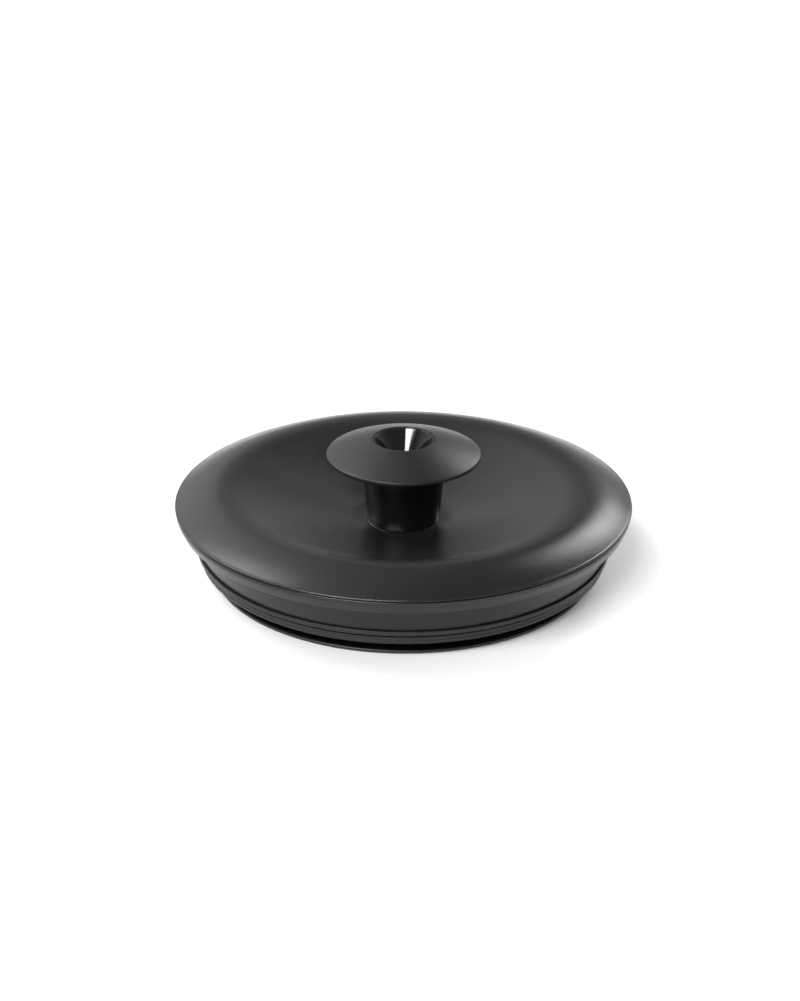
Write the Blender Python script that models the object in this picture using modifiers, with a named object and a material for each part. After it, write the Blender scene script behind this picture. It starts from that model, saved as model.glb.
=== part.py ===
"""Closed lid of a french press: a dished cover on a sealed plug, with a mushroom knob.

The lid stands on its base ring: the origin is the centre of its underside, and +Z is up.
It comes apart as a cover, a plug body with its gasket, a threaded base ring that holds the
bottom plate, and a knob that a bolt holds from inside. Lengths are in metres.
"""

from math import acos, atan2, cos, hypot, pi, radians, sin, tan

import bpy

MM = 0.001

# ---- the cover -----------------------------------------------------------------------------
RIM_RADIUS = 57.5 * MM          # widest point of the lid
RIM_WIDTH = 10.9 * MM           # crest of the rolled rim to its edge
CREST_RISE = 3.5 * MM           # crest above the rim's edge
DISH_DEPTH = 9.55 * MM          # crest down to the dish floor
DISH_RUN = 37.0 * MM            # crest in to the flat middle of the dish
DISH_FOOT_ROUND = 4.0 * MM      # run that rounds the middle into the dish's slope
DISH_CREST_ROUND = 9.0 * MM     # run that rounds the slope into the crest
COVER_WALL = 2.4 * MM
EDGE_DROP = 0.2 * MM            # upright edge under the roll
EDGE_WIDTH = 2.2 * MM           # how far the edge overlaps the body's bead
UNDERSIDE_SETBACK = 0.8 * MM    # the edge's inner face to the curved underside
SEAT_DEPTH = 1.25 * MM          # recess in the dish that takes the stem's foot
CENTRE_BOSS_WALL = 2.6 * MM     # cover thickness under the recess
CENTRE_BOSS_MARGIN = 3.55 * MM  # boss beyond the recess

# ---- clearances ----------------------------------------------------------------------------
GAP = 0.3 * MM                  # between pieces that touch
PARTING_GAP = 0.35 * MM         # shadow line between cover and body
HEAD_CLEARANCE = 0.5 * MM       # bolt head above the bottom plate
CUT_MARGIN = 1.0 * MM           # how far a cutter runs past the face it opens

# ---- plug body, from the rim inwards and from the floor up -----------------------------------
FLANGE_INSET = 0.2 * MM         # bead inside the cover's edge
FLANGE_HEIGHT = 3.2 * MM        # bead's top to the tapered band's lower edge
FLANGE_TAPER = 1.0 * MM
BEAD_HEIGHT = 1.15 * MM
BEAD_STEP = 0.2 * MM
BEAD_FILLET = 0.2 * MM
SKIRT_INSET = 3.1 * MM          # skirt inside the band's lower edge
SKIRT_TAPER = 1.3 * MM
SKIRT_FILLET = 0.3 * MM
BODY_WALL = 2.4 * MM
SEAT_INSET = 4.3 * MM           # gasket's seat inside the skirt's foot
SEAT_WALL = 1.9 * MM            # gasket's seat to the threaded bore
SEAT_LIP = 0.9 * MM             # lip that keeps the gasket on
SEAT_LIP_HEIGHT = 1.0 * MM
FOOT_FILLET = 0.4 * MM
WEB_THICKNESS = 2.0 * MM        # web that carries the screws
WEB_MARGIN = 1.3 * MM           # web inside the screw heads
RIB_WIDTH = 1.8 * MM            # rib that presses on the plate's seal
RIM_SEAL_INSET = 3.0 * MM       # o-ring's middle inside the body's rebate
RIM_SEAL_SECTION = 0.5 * MM     # section radius
RIM_SEAL_WALL = 1.0 * MM        # body inside the o-ring's groove

# ---- gasket --------------------------------------------------------------------------------
GASKET_WIDTH = 4.9 * MM         # seat to the upper lip
GASKET_HEIGHT = 4.35 * MM
GASKET_RISE = 0.75 * MM         # gasket's foot above the body's
GASKET_LIP_STEP = 0.9 * MM      # lower lip inside the upper one
GASKET_FOOT_TAPER = 1.9 * MM
GASKET_ROOT = 2.4 * MM          # seat to the bottom of the groove between the lips
GASKET_GROOVE_RISE = 2.65 * MM  # groove above the gasket's foot
GASKET_GROOVE_WIDTH = 0.7 * MM
LIP_FILLET = 0.3 * MM
UPPER_LIP_CHAMFER = 0.4 * MM
LOWER_LIP_CHAMFER = 0.2 * MM
LOWER_LIP_FILLET = 0.8 * MM

# ---- base ring, bottom plate and their seal --------------------------------------------------
RING_HEIGHT = 1.0 * MM
RING_SHADOW = 1.7 * MM          # groove between ring and body
RING_FLANGE = 3.4 * MM          # ring's edge outside the bore
RING_TAPER = 0.5 * MM
RING_EDGE_FILLET = 0.25 * MM
RING_WALL = 1.9 * MM            # threaded upstand
RING_ENGAGEMENT = 4.0 * MM      # height of the upstand inside the body
RING_LEDGE = 1.5 * MM           # thickness of the ledge under the plate
RING_LEDGE_WIDTH = 2.5 * MM
GRIP_COUNT = 4
GRIP_RADIUS = 3.2 * MM
GRIP_DEPTH = 0.9 * MM
PLATE_THICKNESS = 1.6 * MM
PLATE_RIM = 9.2 * MM            # plate's edge to the shallow panel in its underside
PLATE_PANEL_DEPTH = 0.5 * MM
SEAL_SECTION = 0.75 * MM        # section radius of the o-ring under the rib

# ---- knob ----------------------------------------------------------------------------------
KNOB_REACH = 17.0 * MM          # dish floor to the cap's underside
CAP_RADIUS = 19.3 * MM
CAP_EDGE = 1.0 * MM             # height of the cap's edge band
CAP_EDGE_LEAN = 0.05 * MM
CAP_SHOULDER_FILLET = 0.3 * MM
CAP_RISE = 3.75 * MM            # edge band up to the funnel's lip
CAP_DOME = 0.53                 # half the dome's turn, as a share of its chord's slope
CAP_LIP_THICKNESS = 1.7 * MM
STEM_FOOT_RADIUS = 9.15 * MM
STEM_TAPER = 1.35 * MM
STEM_SHOULDER = 2.0 * MM        # ledge round the spigot that goes into the cap
STEM_SHOULDER_FILLET = 0.2 * MM
STEM_FOOT_FILLET = 0.5 * MM
SPIGOT_WALL = 1.2 * MM
FUNNEL_HOLD = 0.7 * MM          # funnel's flange under the cap's lip
FUNNEL_DEPTH = 9.6 * MM
FUNNEL_INSET = 0.25 * MM        # funnel's mouth below the cap's lip
FUNNEL_TIP_RADIUS = 1.9 * MM
FUNNEL_TIP_FILLET = 0.8 * MM
FUNNEL_LIP_FILLET = 0.15 * MM
FUNNEL_WALL = 0.8 * MM
FUNNEL_FLANGE = 0.6 * MM
FUNNEL_FLANGE_ROOT = 1.1 * MM   # mouth in to the cone under the flange

# ---- the knob's fasteners --------------------------------------------------------------------
STEM_WASHER = 0.6 * MM
PEG_RADIUS = 1.1 * MM           # pegs that stop the stem from turning
PEG_MARGIN = 0.7 * MM           # plastic between a peg and the insert's bore
PEG_LENGTH = 2.2 * MM
BOLT_RADIUS = 2.5 * MM
BOLT_HEAD_OVERHANG = 2.1 * MM
BOLT_HEAD = 2.2 * MM
BOLT_SETBACK = 0.2 * MM         # bolt's tip below the insert's top
INSERT_WALL = 1.6 * MM
INSERT_LENGTH = 8.0 * MM
INSERT_GROOVE = 0.4 * MM
INSERT_GROOVE_HALF = 1.0 * MM
WASHER_OVERHANG = 1.4 * MM
WASHER = 0.9 * MM
BOLT_SEAL = 0.7 * MM

# ---- screws between cover and body -----------------------------------------------------------
SCREW_COUNT = 6
SCREW_MARGIN = 1.7 * MM         # screw head to the rib
SCREW_RADIUS = 1.25 * MM
SCREW_LENGTH = 8.0 * MM
SCREW_HEAD_OVERHANG = 1.45 * MM
SCREW_HEAD = 1.6 * MM
POST_WALL = 1.95 * MM           # post round the screw

# ---- proportions of a screw, as shares of its shank's or head's size ---------------------------
POINT_TIP = 0.7
POINT_LENGTH = 0.5
HEAD_ROUNDING = 0.55
RECESS_LENGTH = 1.1
RECESS_WIDTH = 0.28

# ---- how finely round things are cut ---------------------------------------------------------
RIM_STEPS = 40
KNOB_STEPS = 32
SMALL_STEPS = 14
O_RING_STEPS = 5
DISH_STEPS = 8
UNDERSIDE_STEPS = 6
DOME_STEPS = 6
ARC_STEP = radians(30)
SHARP_ANGLE = radians(32)

# ---- heights that follow, from the floor up ----------------------------------------------------
BODY_FOOT = RING_HEIGHT + RING_SHADOW
GASKET_FOOT = BODY_FOOT + GASKET_RISE
GASKET_TOP = GASKET_FOOT + GASKET_HEIGHT
GASKET_GROOVE = GASKET_FOOT + GASKET_GROOVE_RISE
SKIRT_FOOT = GASKET_TOP + GAP
UPSTAND_TOP = BODY_FOOT + RING_ENGAGEMENT
WEB_BOTTOM = UPSTAND_TOP + GAP
WEB_TOP = WEB_BOTTOM + WEB_THICKNESS
SCREW_SEAT = WEB_BOTTOM - GAP
PLATE_BOTTOM = RING_LEDGE + GAP
PLATE_TOP = PLATE_BOTTOM + PLATE_THICKNESS
PLATE_SEAL_HEIGHT = PLATE_TOP + GAP + SEAL_SECTION
RIB_BOTTOM = PLATE_SEAL_HEIGHT + SEAL_SECTION + GAP
BOLT_HEAD_TOP = PLATE_TOP + HEAD_CLEARANCE + BOLT_HEAD
WASHER_BOTTOM = BOLT_HEAD_TOP + GAP
BOLT_SEAL_BOTTOM = WASHER_BOTTOM + WASHER + GAP
BOSS_BOTTOM = BOLT_SEAL_BOTTOM + BOLT_SEAL + GAP
SEAT_FLOOR = BOSS_BOTTOM + CENTRE_BOSS_WALL
DISH_FLOOR = SEAT_FLOOR + SEAT_DEPTH
CREST = DISH_FLOOR + DISH_DEPTH
RIM_HEIGHT = CREST - CREST_RISE
EDGE_BOTTOM = RIM_HEIGHT - EDGE_DROP
FLANGE_TOP = EDGE_BOTTOM - PARTING_GAP
FLANGE_BOTTOM = FLANGE_TOP - FLANGE_HEIGHT
STEM_FOOT = SEAT_FLOOR + 2 * GAP + STEM_WASHER
INSERT_BOTTOM = STEM_FOOT + GAP
INSERT_TOP = INSERT_BOTTOM + INSERT_LENGTH
BOLT_END = INSERT_TOP - BOLT_SETBACK
CAP_BOTTOM = DISH_FLOOR + KNOB_REACH
CAP_SHOULDER = CAP_BOTTOM + CAP_EDGE
CAP_LIP = CAP_SHOULDER + CAP_RISE
CAP_BORE_TOP = CAP_LIP - CAP_LIP_THICKNESS
FUNNEL_TOP = CAP_LIP - FUNNEL_INSET
FUNNEL_FLANGE_TOP = CAP_BORE_TOP - GAP
FUNNEL_FLANGE_BOTTOM = FUNNEL_FLANGE_TOP - FUNNEL_FLANGE
FUNNEL_TIP = FUNNEL_TOP - FUNNEL_DEPTH
SPIGOT_TOP = FUNNEL_FLANGE_BOTTOM - GAP

# ---- radii that follow, from the rim inwards ---------------------------------------------------
CREST_RADIUS = RIM_RADIUS - RIM_WIDTH
DISH_FLOOR_RADIUS = CREST_RADIUS - DISH_RUN
EDGE_INNER = RIM_RADIUS - EDGE_WIDTH
UNDERSIDE_END = EDGE_INNER - UNDERSIDE_SETBACK
REBATE_RADIUS = EDGE_INNER + GAP
FLANGE_RADIUS = RIM_RADIUS - FLANGE_INSET
FLANGE_FOOT_RADIUS = FLANGE_RADIUS - FLANGE_TAPER
SKIRT_TOP_RADIUS = FLANGE_FOOT_RADIUS - SKIRT_INSET
SKIRT_FOOT_RADIUS = SKIRT_TOP_RADIUS - SKIRT_TAPER
RIM_SEAL_RADIUS = REBATE_RADIUS - RIM_SEAL_INSET
SEAT_RADIUS = SKIRT_FOOT_RADIUS - SEAT_INSET
GASKET_RADIUS = SEAT_RADIUS + GASKET_WIDTH
GASKET_LOWER_RADIUS = GASKET_RADIUS - GASKET_LIP_STEP
GASKET_FOOT_RADIUS = GASKET_LOWER_RADIUS - GASKET_FOOT_TAPER
GASKET_ROOT_RADIUS = SEAT_RADIUS + GASKET_ROOT
BORE_RADIUS = SEAT_RADIUS - SEAT_WALL
RING_RADIUS = BORE_RADIUS + RING_FLANGE
RING_FOOT_RADIUS = RING_RADIUS - RING_TAPER
UPSTAND_RADIUS = BORE_RADIUS - GAP
POCKET_RADIUS = UPSTAND_RADIUS - RING_WALL
RING_LEDGE_RADIUS = POCKET_RADIUS - RING_LEDGE_WIDTH
PLATE_RADIUS = POCKET_RADIUS - GAP
PLATE_PANEL_RADIUS = PLATE_RADIUS - PLATE_RIM
RIB_RADIUS = POCKET_RADIUS - GAP
RIB_INNER = RIB_RADIUS - RIB_WIDTH
PLATE_SEAL_RADIUS = RIB_RADIUS - RIB_WIDTH / 2
SCREW_HEAD_RADIUS = SCREW_RADIUS + SCREW_HEAD_OVERHANG
SCREW_PITCH_RADIUS = RIB_INNER - SCREW_MARGIN - SCREW_HEAD_RADIUS
WEB_RADIUS = SCREW_PITCH_RADIUS - SCREW_HEAD_RADIUS - WEB_MARGIN
POST_RADIUS = SCREW_RADIUS + POST_WALL

# ---- radii that follow, from the bolt outwards -------------------------------------------------
BOLT_CLEARANCE = BOLT_RADIUS + GAP
BOLT_HEAD_RADIUS = BOLT_RADIUS + BOLT_HEAD_OVERHANG
WASHER_RADIUS = BOLT_HEAD_RADIUS + WASHER_OVERHANG
INSERT_RADIUS = BOLT_RADIUS + INSERT_WALL
INSERT_BORE = INSERT_RADIUS + GAP
PEG_PITCH = INSERT_BORE + PEG_MARGIN + PEG_RADIUS
KNOB_SEAT_RADIUS = STEM_FOOT_RADIUS + GAP
CENTRE_BOSS_RADIUS = KNOB_SEAT_RADIUS + CENTRE_BOSS_MARGIN
STEM_TOP_RADIUS = STEM_FOOT_RADIUS + STEM_TAPER
SPIGOT_RADIUS = STEM_TOP_RADIUS - STEM_SHOULDER
CAP_LIP_RADIUS = SPIGOT_RADIUS - FUNNEL_HOLD
FUNNEL_MOUTH = CAP_LIP_RADIUS - GAP


# ---- materials ---------------------------------------------------------------------------------
def plain_material(name, colour, roughness, metallic=0.0):
    """A Principled material of one colour."""
    material = bpy.data.materials.new(name)
    material.use_nodes = True
    shader = material.node_tree.nodes["Principled BSDF"]
    shader.inputs["Base Color"].default_value = (*colour, 1.0)
    shader.inputs["Roughness"].default_value = roughness
    shader.inputs["Metallic"].default_value = metallic
    material.diffuse_color = (*colour, 1.0)
    return material


# ---- outlines ------------------------------------------------------------------------------------
def outline(*corners):
    """Turn corners (radius, height[, fillet]) into points, with an arc at each filleted corner."""
    points = []
    count = len(corners)
    for index, corner in enumerate(corners):
        fillet = corner[2] if len(corner) > 2 else 0.0
        if fillet == 0.0:
            points.append(corner[:2])
            continue
        before = corners[index - 1]
        after = corners[(index + 1) % count]
        points += corner_arc(before, corner, after, fillet)
    return points


def corner_arc(before, corner, after, fillet):
    """Points of the arc that rounds a corner between two straight runs."""
    into = (before[0] - corner[0], before[1] - corner[1])
    out = (after[0] - corner[0], after[1] - corner[1])
    into_length, out_length = hypot(*into), hypot(*out)
    into = (into[0] / into_length, into[1] / into_length)
    out = (out[0] / out_length, out[1] / out_length)
    opening = acos(into[0] * out[0] + into[1] * out[1])
    reach = fillet / tan(opening / 2)
    to_centre = (into[0] + out[0], into[1] + out[1])
    scale = fillet / sin(opening / 2) / hypot(*to_centre)
    centre = (corner[0] + to_centre[0] * scale, corner[1] + to_centre[1] * scale)
    start = (corner[0] + into[0] * reach, corner[1] + into[1] * reach)
    end = (corner[0] + out[0] * reach, corner[1] + out[1] * reach)
    first = atan2(start[1] - centre[1], start[0] - centre[0])
    last = atan2(end[1] - centre[1], end[0] - centre[0])
    sweep = (last - first + pi) % (2 * pi) - pi
    steps = max(2, round(abs(sweep) / ARC_STEP))
    angles = [first + sweep * step / steps for step in range(steps + 1)]
    return [(centre[0] + fillet * cos(a), centre[1] + fillet * sin(a)) for a in angles]


def cover_height(radius):
    """Height of the cover's upper face: a shallow cone rounded into its middle and its crest."""
    outwards, inwards = radius - DISH_FLOOR_RADIUS, CREST_RADIUS - radius
    if outwards <= 0.0:
        return DISH_FLOOR
    slope = DISH_DEPTH / (DISH_RUN - (DISH_FOOT_ROUND + DISH_CREST_ROUND) / 2)
    if outwards < DISH_FOOT_ROUND:
        return DISH_FLOOR + slope * outwards ** 2 / (2 * DISH_FOOT_ROUND)
    if inwards > DISH_CREST_ROUND:
        return DISH_FLOOR + slope * (outwards - DISH_FOOT_ROUND / 2)
    if inwards > 0.0:
        return CREST - slope * inwards ** 2 / (2 * DISH_CREST_ROUND)
    share = min(1.0, (radius - CREST_RADIUS) / RIM_WIDTH)
    return RIM_HEIGHT + CREST_RISE * (1 - share ** 2)


def between(low, high, steps):
    """Evenly spaced values from low to high, both included."""
    return [low + (high - low) * step / steps for step in range(steps + 1)]


# ---- making solids ---------------------------------------------------------------------------
def turned(name, points, steps, material, group):
    """Turn an outline about Z. Points run down the outer side; on-axis ends leave it open."""
    touches_axis = points[0][0] == 0.0
    count = len(points)
    edges = [(i, i + 1) for i in range(count - 1)]
    if not touches_axis:
        edges.append((count - 1, 0))
    mesh = bpy.data.meshes.new(name)
    mesh.from_pydata([(radius, 0.0, height) for radius, height in points], edges, [])
    piece = bpy.data.objects.new(name, mesh)
    group.objects.link(piece)
    screw = piece.modifiers.new("turn", "SCREW")
    screw.axis = "Z"
    screw.angle = 2 * pi
    screw.steps = steps
    screw.render_steps = steps
    screw.use_merge_vertices = True
    screw.merge_threshold = 0.00001
    mesh.materials.append(material)
    return piece


def rehouse(piece, group):
    """Move an object out of the collections that hold it and into one group."""
    for collection in piece.users_collection:
        collection.objects.unlink(piece)
    group.objects.link(piece)


def make_tool(piece):
    """Keep an object out of the finished lid: it only cuts, joins or trims other pieces."""
    rehouse(piece, cutters)
    piece.hide_render = True
    piece.display_type = "WIRE"


def cylinder(name, radius, bottom, top, place=(0.0, 0.0)):
    """An upright cylinder that cuts or joins another piece."""
    bpy.ops.mesh.primitive_cylinder_add(
        vertices=SMALL_STEPS, radius=radius, depth=top - bottom,
        location=(place[0], place[1], (bottom + top) / 2))
    tool = bpy.context.object
    tool.name = name
    make_tool(tool)
    return tool


def combine(piece, tool, operation):
    """Cut a tool from a piece, or join it to the piece."""
    boolean = piece.modifiers.new(tool.name, "BOOLEAN")
    boolean.operation = operation
    boolean.solver = "EXACT"
    boolean.object = tool


def around(count, radius, turn=0.0):
    """Places of a ring of equal features."""
    angles = [turn + 2 * pi * index / count for index in range(count)]
    return [(radius * cos(a), radius * sin(a)) for a in angles]


def ring_seal(name, radius, section, height, material, group):
    """An o-ring lying flat."""
    bpy.ops.mesh.primitive_torus_add(
        major_radius=radius, minor_radius=section, major_segments=RIM_STEPS,
        minor_segments=O_RING_STEPS, location=(0.0, 0.0, height))
    seal = bpy.context.object
    seal.name = name
    seal.data.materials.append(material)
    rehouse(seal, group)
    return seal


def washer(name, outer, inner, bottom, thickness, material, group):
    """A flat washer."""
    top = bottom + thickness
    points = [(inner, top), (outer, top), (outer, bottom), (inner, bottom)]
    return turned(name, points, KNOB_STEPS, material, group)


def finish(piece):
    """Turn a piece's modifiers into its mesh, shaded smooth except at its sharp edges."""
    graph = bpy.context.evaluated_depsgraph_get()
    mesh = bpy.data.meshes.new_from_object(piece.evaluated_get(graph))
    mesh.name = piece.name
    piece.modifiers.clear()
    piece.data = mesh
    mesh.shade_smooth()
    mesh.set_sharp_from_angle(angle=SHARP_ANGLE)


# ---- the cover and the plug --------------------------------------------------------------------
def post_envelope(material):
    """Solid space up to the middle of the cover's wall, which trims the screw posts' tops."""
    middle = [(r, cover_height(r) - COVER_WALL / 2)
              for r in between(DISH_FLOOR_RADIUS, CREST_RADIUS, DISH_STEPS)]
    points = [(0.0, DISH_FLOOR - COVER_WALL / 2)] + middle + [(CREST_RADIUS, 0.0), (0.0, 0.0)]
    envelope = turned("post_envelope", points, RIM_STEPS, material, cutters)
    make_tool(envelope)
    return envelope


def lid_cover(material, group):
    """Dished cover with its knob seat, centre boss and screw posts."""
    upper = [(r, cover_height(r)) for r in between(DISH_FLOOR_RADIUS, CREST_RADIUS, DISH_STEPS)]
    upper += [(r, cover_height(r)) for r in between(CREST_RADIUS, RIM_RADIUS, DISH_STEPS)[1:]]
    lower = [(r, cover_height(r) - COVER_WALL)
             for r in between(DISH_FLOOR_RADIUS, CREST_RADIUS, UNDERSIDE_STEPS)]
    underside_low = cover_height(UNDERSIDE_END) - COVER_WALL
    edge = [(RIM_RADIUS, EDGE_BOTTOM), (EDGE_INNER, EDGE_BOTTOM), (EDGE_INNER, underside_low),
            (UNDERSIDE_END, underside_low)]
    points = [(BOLT_CLEARANCE, DISH_FLOOR)] + upper + edge + lower[::-1]
    points.append((BOLT_CLEARANCE, DISH_FLOOR - COVER_WALL))
    piece = turned("lid_cover", points, RIM_STEPS, material, group)

    boss = cylinder("centre_boss", CENTRE_BOSS_RADIUS, BOSS_BOTTOM, DISH_FLOOR - COVER_WALL / 2)
    combine(piece, boss, "UNION")
    posts = around(SCREW_COUNT, SCREW_PITCH_RADIUS)
    inside = post_envelope(material)
    for index, place in enumerate(posts, start=1):
        post = cylinder(f"post_{index}", POST_RADIUS, WEB_TOP + GAP, CREST, place)
        combine(post, inside, "INTERSECT")
        combine(piece, post, "UNION")

    seat = cylinder("knob_seat", KNOB_SEAT_RADIUS, SEAT_FLOOR, DISH_FLOOR + CUT_MARGIN)
    combine(piece, seat, "DIFFERENCE")
    bolt_hole = cylinder("bolt_hole", BOLT_CLEARANCE, BOSS_BOTTOM - CUT_MARGIN, DISH_FLOOR)
    combine(piece, bolt_hole, "DIFFERENCE")
    for index, place in enumerate(around(2, PEG_PITCH), start=1):
        hole = cylinder(f"peg_hole_{index}", PEG_RADIUS + GAP,
                        BOSS_BOTTOM - CUT_MARGIN, DISH_FLOOR, place)
        combine(piece, hole, "DIFFERENCE")
    pilot_top = SCREW_SEAT + SCREW_LENGTH + GAP
    for index, place in enumerate(posts, start=1):
        pilot = cylinder(f"pilot_{index}", SCREW_RADIUS + GAP, WEB_BOTTOM, pilot_top, place)
        combine(piece, pilot, "DIFFERENCE")
    return piece


def lid_body(material, group):
    """Flange band, plug skirt, gasket seat, threaded bore and the web that takes the screws."""
    flange_floor = cover_height(UNDERSIDE_END) - COVER_WALL - GAP
    groove_half = RIM_SEAL_SECTION + GAP
    groove_floor = flange_floor - groove_half
    wall_inner = RIM_SEAL_RADIUS - groove_half - RIM_SEAL_WALL
    lip_radius = SEAT_RADIUS + SEAT_LIP
    lip_top = BODY_FOOT + SEAT_LIP_HEIGHT
    points = outline(
        (REBATE_RADIUS, FLANGE_TOP),
        (FLANGE_RADIUS, FLANGE_TOP, BEAD_FILLET),
        (FLANGE_RADIUS, FLANGE_TOP - BEAD_HEIGHT),
        (FLANGE_RADIUS - BEAD_STEP, FLANGE_TOP - BEAD_HEIGHT),
        (FLANGE_FOOT_RADIUS, FLANGE_BOTTOM, SKIRT_FILLET),
        (SKIRT_TOP_RADIUS, FLANGE_BOTTOM),
        (SKIRT_FOOT_RADIUS, SKIRT_FOOT, SKIRT_FILLET),
        (SEAT_RADIUS, SKIRT_FOOT),
        (SEAT_RADIUS, lip_top),
        (lip_radius, lip_top),
        (lip_radius, BODY_FOOT, FOOT_FILLET),
        (BORE_RADIUS, BODY_FOOT),
        (BORE_RADIUS, WEB_BOTTOM),
        (RIB_RADIUS, WEB_BOTTOM),
        (RIB_RADIUS, RIB_BOTTOM),
        (RIB_INNER, RIB_BOTTOM),
        (RIB_INNER, WEB_BOTTOM),
        (WEB_RADIUS, WEB_BOTTOM),
        (WEB_RADIUS, WEB_TOP),
        (SKIRT_FOOT_RADIUS - BODY_WALL, WEB_TOP),
        (wall_inner, FLANGE_BOTTOM),
        (wall_inner, flange_floor),
        (RIM_SEAL_RADIUS - groove_half, flange_floor),
        (RIM_SEAL_RADIUS - groove_half, groove_floor),
        (RIM_SEAL_RADIUS + groove_half, groove_floor),
        (RIM_SEAL_RADIUS + groove_half, flange_floor),
        (REBATE_RADIUS, flange_floor),
    )
    piece = turned("lid_body", points, RIM_STEPS, material, group)
    for index, place in enumerate(around(SCREW_COUNT, SCREW_PITCH_RADIUS), start=1):
        hole = cylinder(f"web_hole_{index}", SCREW_RADIUS + 2 * GAP,
                        WEB_BOTTOM - CUT_MARGIN, WEB_TOP + CUT_MARGIN, place)
        combine(piece, hole, "DIFFERENCE")
    return piece


def seal_gasket(material, group):
    """Silicone ring with two sealing lips, stretched onto the body's seat."""
    inner = SEAT_RADIUS + GAP
    lower_top = GASKET_GROOVE - GASKET_GROOVE_WIDTH / 2
    upper_bottom = GASKET_GROOVE + GASKET_GROOVE_WIDTH / 2
    inner_bottom = BODY_FOOT + SEAT_LIP_HEIGHT + GAP
    lip_clear = SEAT_RADIUS + SEAT_LIP + GAP
    points = outline(
        (inner, GASKET_TOP),
        (GASKET_RADIUS - LIP_FILLET, GASKET_TOP),
        (GASKET_RADIUS, (GASKET_TOP + upper_bottom) / 2, LIP_FILLET),
        (GASKET_RADIUS - UPPER_LIP_CHAMFER, upper_bottom),
        (GASKET_ROOT_RADIUS, upper_bottom),
        (GASKET_ROOT_RADIUS, lower_top),
        (GASKET_LOWER_RADIUS - LOWER_LIP_CHAMFER, lower_top),
        (GASKET_LOWER_RADIUS, (lower_top + GASKET_FOOT) / 2, LOWER_LIP_FILLET),
        (GASKET_FOOT_RADIUS, GASKET_FOOT),
        (lip_clear, GASKET_FOOT),
        (lip_clear, inner_bottom),
        (inner, inner_bottom),
    )
    return turned("seal_gasket", points, RIM_STEPS, material, group)


# ---- the base ------------------------------------------------------------------------------------
def base_ring(material, group):
    """Threaded ring that the lid stands on; its ledge carries the bottom plate."""
    points = outline(
        (UPSTAND_RADIUS, RING_HEIGHT),
        (RING_RADIUS, RING_HEIGHT, RING_EDGE_FILLET),
        (RING_FOOT_RADIUS, 0.0, FOOT_FILLET),
        (RING_LEDGE_RADIUS, 0.0, FOOT_FILLET),
        (RING_LEDGE_RADIUS, RING_LEDGE),
        (POCKET_RADIUS, RING_LEDGE),
        (POCKET_RADIUS, UPSTAND_TOP),
        (UPSTAND_RADIUS, UPSTAND_TOP),
    )
    piece = turned("base_ring", points, RIM_STEPS, material, group)
    for index, place in enumerate(around(GRIP_COUNT, RING_LEDGE_RADIUS, pi / 4), start=1):
        grip = cylinder(f"grip_{index}", GRIP_RADIUS, -CUT_MARGIN, GRIP_DEPTH, place)
        combine(piece, grip, "DIFFERENCE")
    return piece


def bottom_plate(material, group):
    """Flat plate with a shallow round panel in its underside."""
    panel_top = PLATE_BOTTOM + PLATE_PANEL_DEPTH
    points = [
        (0.0, PLATE_TOP),
        (PLATE_RADIUS, PLATE_TOP),
        (PLATE_RADIUS, PLATE_BOTTOM),
        (PLATE_PANEL_RADIUS, PLATE_BOTTOM),
        (PLATE_PANEL_RADIUS - PLATE_PANEL_DEPTH, panel_top),
        (0.0, panel_top),
    ]
    return turned("bottom_plate", points, RIM_STEPS, material, group)


# ---- the knob ----------------------------------------------------------------------------------
def knob_cap(material, group):
    """Low mushroom cap: a domed top on a thin edge band, bored for the stem and the funnel."""
    run = CAP_RADIUS - CAP_LIP_RADIUS
    chord_angle = atan2(CAP_RISE, run)
    half_turn = chord_angle * CAP_DOME
    dome_radius = hypot(run, CAP_RISE) / (2 * sin(half_turn))
    lean = between(chord_angle - half_turn, chord_angle + half_turn, DOME_STEPS)
    dome = [(CAP_LIP_RADIUS + dome_radius * (sin(a) - sin(lean[0])),
             CAP_LIP - dome_radius * (cos(lean[0]) - cos(a))) for a in lean]
    bore = SPIGOT_RADIUS + GAP
    band = outline(
        dome[-2],
        (CAP_RADIUS, CAP_SHOULDER, CAP_SHOULDER_FILLET),
        (CAP_RADIUS - CAP_EDGE_LEAN, CAP_BOTTOM, FOOT_FILLET),
        (bore, CAP_BOTTOM),
        (bore, CAP_BORE_TOP),
        (CAP_LIP_RADIUS, CAP_BORE_TOP),
    )
    points = dome[:-2] + band
    return turned("knob_cap", points, KNOB_STEPS, material, group)


def knob_stem(material, group):
    """Tapered stem: a spigot into the cap, a bore for the thread insert and two pegs below."""
    shoulder = CAP_BOTTOM - GAP
    bore_top = INSERT_TOP + GAP
    funnel_floor = FUNNEL_TIP - FUNNEL_WALL - GAP
    tip_bore = FUNNEL_TIP_RADIUS + FUNNEL_WALL + 2 * GAP
    points = outline(
        (SPIGOT_RADIUS - SPIGOT_WALL, SPIGOT_TOP),
        (SPIGOT_RADIUS, SPIGOT_TOP),
        (SPIGOT_RADIUS, shoulder),
        (STEM_TOP_RADIUS, shoulder, STEM_SHOULDER_FILLET),
        (STEM_FOOT_RADIUS, STEM_FOOT, STEM_FOOT_FILLET),
        (INSERT_BORE, STEM_FOOT),
        (INSERT_BORE, bore_top),
        (tip_bore, bore_top),
        (tip_bore, funnel_floor),
    )
    piece = turned("knob_stem", points, KNOB_STEPS, material, group)
    for index, place in enumerate(around(2, PEG_PITCH), start=1):
        peg = cylinder(f"peg_{index}", PEG_RADIUS,
                       STEM_FOOT - PEG_LENGTH, STEM_FOOT + CUT_MARGIN, place)
        combine(piece, peg, "UNION")
    return piece


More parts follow.
